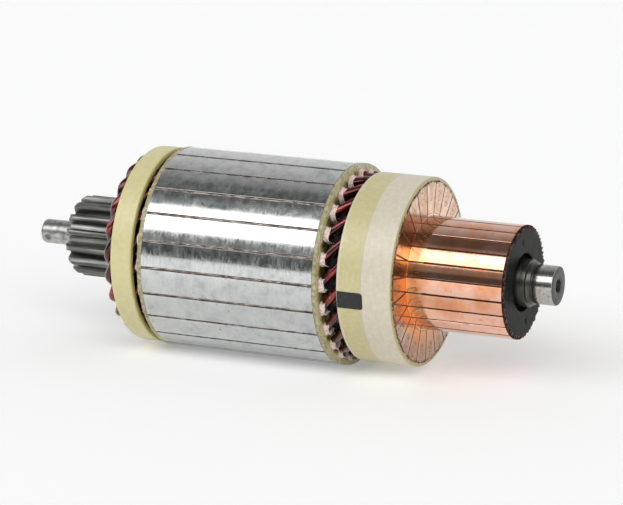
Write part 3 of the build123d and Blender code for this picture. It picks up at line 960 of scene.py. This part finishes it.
def makeTape(name, tints, edgeTint, edgeFrom, edgeTo, scorchAndShadeRadius=0.0, scorchAndShadeTint="6B4526"):
    # Unidirectional glass tape cured with polyester resin: milky, faintly mottled by trapped
    # air, with a soft sheen, and darker yellow where bare resin ends at an edge. Near its bore it
    # takes a given tint: a brown scorch from brazing on the white ring, and near black painted
    # shade on the drive end ring, standing for the dark gap beside it.
    material, add, place = newMaterial(name)
    mottle = add("TexNoise", place, perMm(1.8), 5.0, 0.62)
    strands = add("Mapping", {"Vector": place, "Scale": perMm(0.7, 9, 9)})
    fibres = add("TexNoise", strands, 1.0, 3.0)
    blend = add("Math", fibres, 0.25, mottle, operation="MULTIPLY_ADD")
    body = add("ValToRGB", blend, stops=list(zip((0.42, 0.62, 0.84), tints)))
    around = aroundShaft(add, place)
    ragged = add("Math", mottle, 0.5 * mm, around["along"], operation="MULTIPLY_ADD")
    nearEdge = add("MapRange", ragged, edgeFrom * mm, edgeTo * mm, 0.0, 0.8)
    edged = add("Mix", nearEdge, body, edgeTint, data_type="RGBA")
    scorchAndShadeReach = add("Math", mottle, 2.4 * mm, around["radius"], operation="MULTIPLY_ADD")
    nearBore = add("MapRange", scorchAndShadeReach, (scorchAndShadeRadius + 0.4) * mm, (scorchAndShadeRadius - 0.2) * mm, 0.0, 0.85)
    scorchedAndShaded = add("Mix", nearBore, edged, scorchAndShadeTint, data_type="RGBA")
    surface = {
        "Base Color": scorchedAndShaded, "Roughness": 0.42, "Coat Weight": 0.3, "Coat Roughness": 0.25,
        "Subsurface Weight": 0.12, "Subsurface Radius": (1.0, 0.8, 0.5), "Subsurface Scale": 0.8 * mm,
    }
    return closeMaterial(material, surface, blend, 0.04, 0.5)


band = {
    "bore": 34.4, "radius": 36.15, "grooveRadius": 35.65, "grooveFront": -60.425, "grooveBack": -69.525,
    "edgeRounding": 0.5, "rearBore": 35.75, "rearRadius": 38.1, "rearRounding": 0.55,
    "rearEase": 0.9,  # how far the ring ends short of the CAD band on the stack's side
    "waviness": 0.05, "skin": 0.3, "steps": 200, "facet": 0.9,
}


def makeBand(name, outline, material, node):
    shape = turned(outline, band["steps"], band["facet"])
    skinRadius = max(radius for x, radius, rounding in outline) - band["skin"]
    for vert in shape.verts:
        if radiusOf(vert.co) > skinRadius:
            swell = wander(vert.co, 7.0) * 0.6
            swell += wander(Vector((vert.co.x * 5, vert.co.y, vert.co.z)), 3.0) * 0.4
            vert.co += outwardOf(vert.co) * (swell - 0.6) * band["waviness"] * mm
    placePiece(name, shape, [material], [node])


bandBack, bandFront = span("commutator_end_band")
rearBack, rearFront = span("drive_end_band")
rearFront -= band["rearEase"]
whiteTape = makeTape(
    "white glass binding tape", ("D2C9B3", "D9D0BB", "E0D8C6"), "B4A463", bandFront - 0.2, bandFront + 0.15,
    35.7, "4E3519",
)
greenTape = makeTape(
    "yellow-green resin glass tape", ("C8BE8D", "CEC493", "D5CC9D"), "CBC4A8",
    band["grooveFront"] - 1.4, band["grooveFront"] + 0.3,
)
# Its near-black tint at the bore is painted shade: the dark gap between band and washer, painted onto the
# inner part of the ring's face towards the stack.
paleTape = makeTape(
    "pale yellow glass tape", ("D4CB98", "DAD19E", "DFD7A8"), "C6B972", -156.0, -155.5, 37.35, "2A1C10",
)
groove = [
    (band["grooveFront"], band["radius"], 0), (band["grooveFront"], band["grooveRadius"], 0),
    (band["grooveBack"], band["grooveRadius"], 0), (band["grooveBack"], band["radius"], 0),
]
makeBand(
    "white_binding_ring",
    [
        (bandBack, band["bore"], 0), (bandFront, band["bore"], 0),
        (bandFront, band["radius"], band["edgeRounding"]), *groove,
        (bandBack, band["radius"], band["edgeRounding"]),
    ],
    whiteTape, "commutator_end_band",
)
makeBand(
    "yellow_binding_ring", [groove[2], groove[1], groove[0], groove[3]],
    greenTape, "commutator_end_overband",
)
makeBand(
    "drive_end_binding_ring",
    [
        (rearBack, band["rearBore"], 0), (rearFront, band["rearBore"], 0),
        (rearFront, band["rearRadius"], band["rearRounding"]),
        (rearBack, band["rearRadius"], band["rearRounding"]),
    ],
    paleTape, "drive_end_band",
)


# Resin squeezed out between the risers and the white ring, scorched brown and broken off.
beadResin = makeMottled(
    "scorched binding resin", (1.0, 3.0), [(0.42, "1C120A"), (0.5, "5A3E1C"), (0.58, "C0B070")],
    {"Roughness": 0.25, "Coat Weight": 0.6, "Coat Roughness": 0.05},
)
bead = {"radius": 34.5, "size": 0.5, "sink": 0.02, "steps": 420}


def makeBead(material):
    x, radius, size = bandFront - bead["sink"], bead["radius"], bead["size"]
    outline = [(x - size, radius, 0), (x, radius + size, 0), (x + size, radius, 0), (x, radius - size, 0)]
    shape = turned(outline, bead["steps"])
    for vert in shape.verts:
        centre = outwardOf(vert.co) * radius * mm
        centre.x = x * mm
        lump = 0.5 + 2.4 * wander(vert.co, 0.8) + wander(vert.co, 3.4)
        vert.co = centre + (vert.co - centre) * clamp(lump, 0.12, 1.2)
    placePiece("resin_bead", shape, [material], [], 60)


makeBead(beadResin)


# Brushed-on black marking paint: flat charcoal, thin enough to follow the tape under it.
markPaint = makeMottled(
    "black marking paint", (1.2, 4.0), [(0.35, "1C1C1C"), (0.6, "252525"), (0.75, "3A3A39")],
    {"Roughness": 0.5}, (0.03, 0.6),
)
paintMark = {
    "angle": 187.4, "width": 6.6, "back": -70.25, "front": -60.0, "corner": 1.1, "thickness": 0.05,
    "facet": 0.6, "cuts": 12,
}


def makeMark(material):
    # A flat patch first, rounded at two corners, then wrapped round the band.
    back, front, half = paintMark["back"], paintMark["front"], paintMark["width"] / 2
    patch = bmesh.new()
    outline = [(back, -half, 0), (front, -half, 0), (front, half, 0), (back, half, 0)]
    corners = chain(patch, [Vector(point) * mm for point in outline], closed=True)
    for corner in corners[1:3]:
        roundCorner(patch, corner, paintMark["corner"], 4)
    divideLong(patch, paintMark["facet"])
    bmesh.ops.triangle_fill(patch, use_beauty=True, edges=patch.edges[:], normal=(0, 0, 1))
    for cut in range(1, paintMark["cuts"]):
        share = cut / paintMark["cuts"]
        cutAcross(patch, back + (front - back) * share)
        cutAcross(patch, half * (2 * share - 1), axis=1)
    radius = band["radius"] + paintMark["thickness"] * 0.4
    for vert in patch.verts:
        x, lateral = vert.co.x / mm, vert.co.y / mm
        if abs(lateral) > half - atEnd or x > front - atEnd:
            lateral *= 1 + 0.02 * noise.noise(Vector((x, lateral, 0)))
        vert.co = rimPoint(x, radius, paintMark["angle"] + degrees(lateral / radius))
    piece = placePiece("paint_mark", patch, [material], [])
    thicken(piece, paintMark["thickness"])


makeMark(markPaint)
print("binding bands made")


# Shaft and sun gear


def makePolishedSteel():
    # Carbon steel, ground for the bearing: clear bands, faint rings, and brown rust freckles.
    material, add, place = newMaterial("ground bearing steel")
    rings = add("Mapping", {"Vector": place, "Scale": perMm(0.5, 14, 14)})
    turning = add("TexNoise", rings, 1.0, 3.0, 0.7)
    freckles = add("TexNoise", place, perMm(1.1), 4.0)
    rust = add("MapRange", freckles, 0.54, 0.72, 0.0, 0.6)
    ringTone = add("ValToRGB", turning, stops=[(0.3, "A4A19C"), (0.5, "B2B0AB"), (0.7, "C0BEB9")])
    colour = add("Mix", rust, ringTone, "6B5D52", data_type="RGBA")
    rough = add("MapRange", freckles, 0.35, 0.65, 0.1, 0.24)
    surface = {"Base Color": colour, "Metallic": 0.97, "Roughness": rough}
    return closeMaterial(material, surface, turning, 0.0015)


def makeWornSteel(smudge):
    # The spigot, satin from running in its bush, with a brown rub mark on one side.
    material, add, place = newMaterial("satin worn steel")
    wear = add("TexNoise", place, perMm(2.2), 4.0, 0.6)
    tone = add("ValToRGB", wear, stops=[(0.32, "7E7E7A"), (0.5, "ABABA6"), (0.7, "C4C4BF")])
    away = add("VectorMath", place, smudge, operation="DISTANCE")
    ragged = add("Math", wear, 1.2 * mm, away, operation="MULTIPLY_ADD")
    rub = add("MapRange", ragged, 2.3 * mm, 1.5 * mm, 0.0, 0.75)
    colour = add("Mix", rub, tone, "5F5249", data_type="RGBA")
    surface = {"Base Color": colour, "Metallic": 0.95, "Roughness": 0.34}
    return closeMaterial(material, surface, wear, 0.02, 0.5)


def makeDarkSteel(name, along, across, tints):
    # Heat-treated steel left as cut: smooth charcoal scale, lighter where rubbed, in marks of
    # this length along the shaft and across it.
    material, add, place = newMaterial(name)
    drawn = add("Mapping", {"Vector": place, "Scale": perMm(along, across, across)})
    scale = add("TexNoise", drawn, 1.0, 4.0, 0.6)
    colour = add("ValToRGB", scale, stops=list(zip((0.34, 0.52, 0.7), tints)))
    grains = add("TexNoise", place, perMm(0.8), 3.0)
    surface = {"Base Color": colour, "Metallic": 0.92, "Roughness": 0.31}
    return closeMaterial(material, surface, grains, 0.015, 0.4)


shaft = {
    "journalRadius": 7.5, "journalHalf": 3.825, "journalRounding": 0.25, "reliefRadius": 7.2,
    "coneFront": -4.525, "coneBack": -6.525, "coneSmall": 7.8, "ringBack": -5.35, "ringRadius": 8.2,
    "grooveRadius": 7.65, "grooveBack": -6.35, "collarRadius": 9.05, "coreRadius": 10.0,
    "neckRadius": 11.0, "spigotRadius": 4.75, "spigotRounding": 0.85, "centreRadius": 2.7,
    "pilotRadius": 1.2, "countersink": 2.6, "pilotDepth": 6.0, "pilotPoint": 0.6,
    "smudgeBack": 3.1, "smudgeAngle": 197.0, "rearCentreRadius": 1.5, "rearCentreDepth": 1.3,
    "insideGear": 0.5,  # how far the shoulders stand inside the gear
    "steps": 128,
}
gear = {
    "teeth": 15, "module": 1.9, "pressureAngle": 20.0, "addendum": 1.71, "dedendum": 2.24,
    "phase": 19.7, "back": -196.325, "front": -173.125, "chamferDepth": 1.05, "chamferLength": 1.7,
    "edgeRounding": 0.12, "flankSteps": 4, "rootSteps": 3, "boreSteps": 60,
}
washerBackX = span("drive_end_washer")[0]
spigotEnd, shaftEnd = span("armature_shaft")
gearPitchRadius = gear["module"] * gear["teeth"] / 2
gearRoot = gearPitchRadius - gear["dedendum"]
gearTip = gearPitchRadius + gear["addendum"]


def makeShaft(materials):
    s = shaft
    gearBack, gearFront = gear["back"] + s["insideGear"], gear["front"] - s["insideGear"]
    pilotEnd = shaftEnd - s["pilotDepth"]
    outline = [
        (spigotEnd + s["rearCentreDepth"], 0, 0), (spigotEnd, s["rearCentreRadius"], 0.1),
        (spigotEnd, s["spigotRadius"] - 0.2, s["spigotRounding"] * 0.45),
        (spigotEnd + s["spigotRounding"], s["spigotRadius"], s["spigotRounding"] * 0.45),
        (gearBack, s["spigotRadius"], 0), (gearBack, gearRoot - 0.4, 0),
        (gearFront, gearRoot - 0.4, 0), (gearFront, s["neckRadius"], 0),
        (washerBackX, s["neckRadius"], 0), (washerBackX, s["coreRadius"], 0),
        (riserBack, s["coreRadius"], 0), (riserBack, s["collarRadius"], 0),
        (s["coneBack"], s["collarRadius"], 0.25), (s["grooveBack"], s["grooveRadius"] + 0.3, 0.1),
        (s["ringBack"], s["grooveRadius"], 0.1), (s["ringBack"], s["ringRadius"], 0.14),
        (s["coneFront"], s["coneSmall"], 0.12), (s["coneFront"], s["reliefRadius"], 0.1),
        (-s["journalHalf"], s["reliefRadius"], 0.1), (-s["journalHalf"], s["journalRadius"], 0.15),
        (shaftEnd, s["journalRadius"], s["journalRounding"]), (shaftEnd, s["centreRadius"], 0.15),
        (shaftEnd - s["countersink"], s["pilotRadius"], 0.1), (pilotEnd, s["pilotRadius"], 0.1),
        (pilotEnd - s["pilotPoint"], 0, 0),
    ]
    shape = turned(outline, s["steps"])
    for face in shape.faces:
        middle = face.calc_center_median()
        x, radius = middle.x / mm, radiusOf(middle)
        if x > -s["journalHalf"] - 0.2 and radius > s["reliefRadius"]:
            face.material_index = 0
        elif x < gear["back"] and radius > s["spigotRadius"] - 1:
            face.material_index = 1
        # Index 3 is the end face and the centre hole, whose near black is painted shade.
        elif x > s["coneFront"] and radius < s["reliefRadius"] - 0.5:
            face.material_index = 3
        else:
            face.material_index = 2
    placePiece("turned_shaft", shape, materials, ["armature_shaft"])


def involute(pressure):
    return degrees(sin(pressure) / cos(pressure) - pressure)


def makeGear(material):
    pressure = radians(gear["pressureAngle"])
    baseRadius = gearPitchRadius * cos(pressure)

    def halfAngle(radius):
        rolled = 0.0 if radius <= baseRadius else pi / 2 - asin(baseRadius / radius)
        return 90 / gear["teeth"] + involute(pressure) - involute(rolled)

    steps = gear["flankSteps"]
    flank = [gearRoot] + [baseRadius + (gearTip - baseRadius) * step / steps for step in range(steps + 1)]
    points = [(radius, -halfAngle(radius)) for radius in flank]
    points += [(radius, -angle) for radius, angle in reversed(points)]
    shape = bmesh.new()
    corners = chain(shape, [rimPoint(gear["back"], radius, angle) for radius, angle in points], closed=False)
    landAngle = 360 / gear["teeth"] - 2 * halfAngle(gearRoot)
    spinAround(shape, [corners[-1]], landAngle, gear["rootSteps"])
    copyRound(shape, gear["teeth"])
    weld(shape, 0.005)
    turnBy(shape, gear["phase"])
    raiseRing(shape, gear["back"], gear["front"], shaft["spigotRadius"] - 0.1, gear["boreSteps"])
    cutAcross(shape, gear["back"] + gear["chamferLength"])
    cutRadius = gearTip - gear["chamferDepth"]
    for vert in shape.verts:  # turns the teeth down to a cone at the drive end
        radius = radiusOf(vert.co)
        if vert.co.x < (gear["back"] + atEnd) * mm and radius > cutRadius:
            vert.co.y *= cutRadius / radius
            vert.co.z *= cutRadius / radius
    weld(shape, 0.005)
    faceOut(shape)
    bevelEdges(shape, pickEdges(shape, gearRoot + 0.5, bend=40), gear["edgeRounding"])
    placePiece("sun_gear_teeth", shape, [material], ["armature_shaft"], 22)


# The turned end face and its centre: near black oxide that only shines on edges. In the centre hole the near
# black is painted shade.
endFaceAndHoleShade = makeMottled(
    "black oxide end face with painted hole shade", (1.2, 3.0), [(0.35, "20201D"), (0.55, "32322E"), (0.7, "4C4C47")],
    {"Metallic": 0.85, "Roughness": 0.36},
)
smudge = rimPoint(spigotEnd + shaft["smudgeBack"], shaft["spigotRadius"], shaft["smudgeAngle"])
turnedSteel = makeDarkSteel("turned dark steel", 0.5, 9, ("3E3E39", "54544F", "72726C"))
makeShaft([makePolishedSteel(), makeWornSteel(smudge), turnedSteel, endFaceAndHoleShade])
makeGear(makeDarkSteel("hobbed dark steel", 14, 0.9, ("5C5C57", "7C7C78", "A0A09B")))
print("shaft and gear made")


# Floor, studio and camera


studio = {
    "floorColour": "E9E9E9",
    "floorGlow": 0.18,  # light that the floor gives to everything, as a lit table does
    "floorForCamera": 0.1,  # more of it, for the camera alone
    "farGlow": 0.32,  # and more for mirror rays that meet the floor far out
    "nearFloor": 0.05, "farFloor": 0.24, "floorHalf": 8.0,
    "background": "F7F7F7",
    # What stands round the object, by height in degrees over the horizon on the camera's side:
    # black flag, softbox, flag, ceiling, and a weaker softbox behind. Each has a level and the
    # share of it in red, to keep the flags' reflections a little blue.
    "levels": [
        (-180, 0.9, 1), (-90, 0.9, 1), (-5, 0.9, 1), (-2.5, 0.09, 1), (14, 0.09, 1), (17, 0.27, 1),
        (28, 0.28, 0.97), (30.6, 2.9, 1), (58.5, 2.9, 1), (61.5, 0.33, 0.92), (69, 0.3, 0.92),
        (73, 0.13, 0.95), (92, 0.13, 1), (100, 0.3, 1), (120, 0.55, 1), (150, 0.75, 1),
    ],
    "brightest": 4.0,
    "endLevel": 1.0,  # seen along the shaft
    "boxMiddle": 0.0, "boxHalf": 0.6, "boxFade": 0.08,  # the softbox's place and width
    "besideBox": 1.9,
}


def makeFloorPaper():
    # Pale seamless paper over a lit table. The camera sees it as the photograph's near white.
    material, add, place = newMaterial("white backdrop paper")
    rays = add("LightPath").outputs
    away = add("VectorMath", place, (-0.115, 0, 0), operation="DISTANCE")
    far = add("MapRange", away, studio["nearFloor"], studio["farFloor"], 0.0, studio["farGlow"])
    mirrored = add("Math", rays["Is Glossy Ray"], far, operation="MULTIPLY")
    seen = add("Math", rays["Is Camera Ray"], rays["Is Transmission Ray"], operation="MAXIMUM")
    shown = add("Math", seen, studio["floorForCamera"], mirrored, operation="MULTIPLY_ADD")
    lift = add("Math", shown, studio["floorGlow"], operation="ADD")
    surface = {
        "Base Color": studio["floorColour"], "Roughness": 1.0, "Specular IOR Level": 0.0,
        "Emission Color": "FFFFFF", "Emission Strength": lift,
    }
    return closeMaterial(material, surface)


floorShape = bmesh.new()
bmesh.ops.create_grid(floorShape, x_segments=1, y_segments=1, size=studio["floorHalf"])
bmesh.ops.translate(floorShape, verts=floorShape.verts[:], vec=(0, 0, -stack["radius"] * mm))
floor = makeObject("floor", floorShape, [makeFloorPaper()])


def greyOf(level, red=1.0):
    # A level of light as a share of the brightest.
    share = level / studio["brightest"]
    return (share * red, share, share, 1.0)


def makeWorld():
    world = bpy.data.worlds.new("studio")
    bpy.context.scene.world = world
    world.use_nodes = True
    world.node_tree.nodes.clear()
    add = partial(addNode, world.node_tree)
    parts = add("SeparateXYZ", add("TexCoord").outputs["Generated"]).outputs
    towardsCamera = add("Math", parts["Y"], -1.0, operation="MULTIPLY")
    height = add("Math", parts["Z"], towardsCamera, operation="ARCTAN2")
    heightShare = add("MapRange", height, -pi, pi)
    stops = [((angle + 180) / 360, greyOf(level, red)) for angle, level, red in studio["levels"]]
    ramp = add("ValToRGB", heightShare, stops=stops)
    fromBox = add("Math", parts["X"], studio["boxMiddle"], operation="SUBTRACT")
    offBox = add("Math", fromBox, operation="ABSOLUTE")
    beside = add("MapRange", offBox, studio["boxHalf"], studio["boxHalf"] + studio["boxFade"])
    weak = greyOf(studio["besideBox"])
    limited = add("Mix", beside, ramp, weak, data_type="RGBA", blend_type="DARKEN")
    sideways = add("Math", parts["X"], operation="ABSOLUTE")
    towardsEnd = add("MapRange", sideways, 0.82, 0.97)
    level = add("Mix", towardsEnd, limited, greyOf(studio["endLevel"]), data_type="RGBA")
    light = add("Background", level, studio["brightest"])
    backdrop = add("Background", studio["background"], 1.0)
    forCamera = add("LightPath").outputs["Is Camera Ray"]
    add("OutputWorld", add("MixShader", forCamera, light, backdrop))


makeWorld()

view = {
    "azimuth": 24.73, "elevation": 13.54, "aim": (-115.125, 0.0, 0.0),
    "aimRight": -16.36, "aimDown": 0.834,  # where the aim point stands from the picture's middle
    "distance": 1279.88, "focalPixels": 3314.28, "pictureWidth": 623, "sensor": 36.0,
    "nearest": 0.05, "farthest": 50.0,  # in metres
}


def makeCamera():
    azimuth, elevation = radians(view["azimuth"]), radians(view["elevation"])
    right = Vector((cos(azimuth), sin(azimuth), 0))
    forward = Vector((-sin(azimuth) * cos(elevation), cos(azimuth) * cos(elevation), -sin(elevation)))
    up = right.cross(forward)
    stand = Vector(view["aim"]) - right * view["aimRight"] + up * view["aimDown"] - forward * view["distance"]
    data = bpy.data.cameras.new("camera")
    data.sensor_width = view["sensor"]
    data.lens = view["focalPixels"] * view["sensor"] / view["pictureWidth"]
    data.clip_start, data.clip_end = view["nearest"], view["farthest"]
    camera = bpy.data.objects.new("camera", data)
    camera.matrix_world = Matrix.Translation(stand * mm) @ Matrix((right, up, -forward)).transposed().to_4x4()
    bpy.context.scene.collection.objects.link(camera)
    bpy.context.scene.camera = camera


makeCamera()
bpy.context.scene.view_settings.view_transform = "Standard"
print("studio and camera set")
